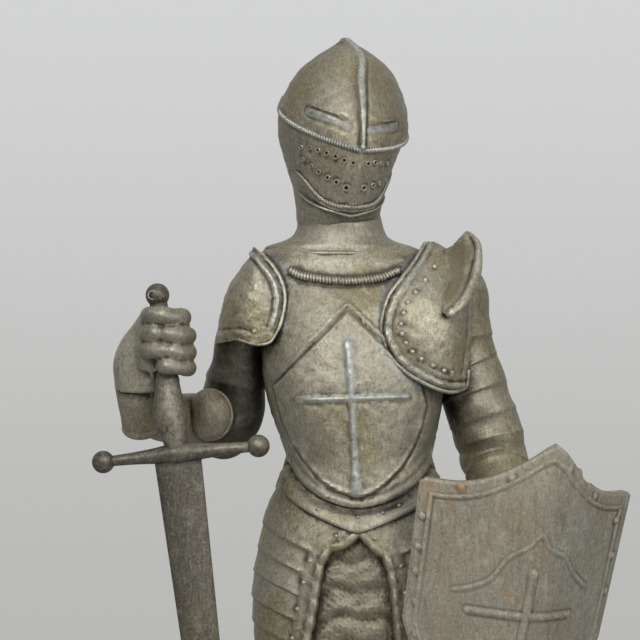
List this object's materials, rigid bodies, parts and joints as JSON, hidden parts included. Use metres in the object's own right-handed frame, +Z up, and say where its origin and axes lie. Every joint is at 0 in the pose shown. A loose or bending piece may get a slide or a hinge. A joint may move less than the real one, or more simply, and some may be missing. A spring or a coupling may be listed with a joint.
{
  "type": "medieval knight statuette",
  "caption": "Cast metal figure of a standing knight in plate armour with closed helmet, a long sword held point down and a heater shield, on a low plinth.",
  "frame": {"origin": "middle of the plinth's flat underside", "axes": "+Z up from the plinth to the peak of the helmet, -Y where the knight faces, -X the sword hand, +X the shield"},
  "size_m": [0.1763, 0.104, 0.403],
  "materials": {
    "pewter": "aged grey-olive white metal, dark in the recesses and worn bright on the edges",
    "sword_metal": "darker brown-grey aged metal with a dull shine",
    "shield_metal": "grey-brown aged metal with upright streaks and a few rust-coloured stains"
  },
  "bodies": {
    "root": {"plinth": "pewter", "knight_figure": "pewter", "sword": "sword_metal", "shield": "shield_metal"}
  },
  "joints": []
}
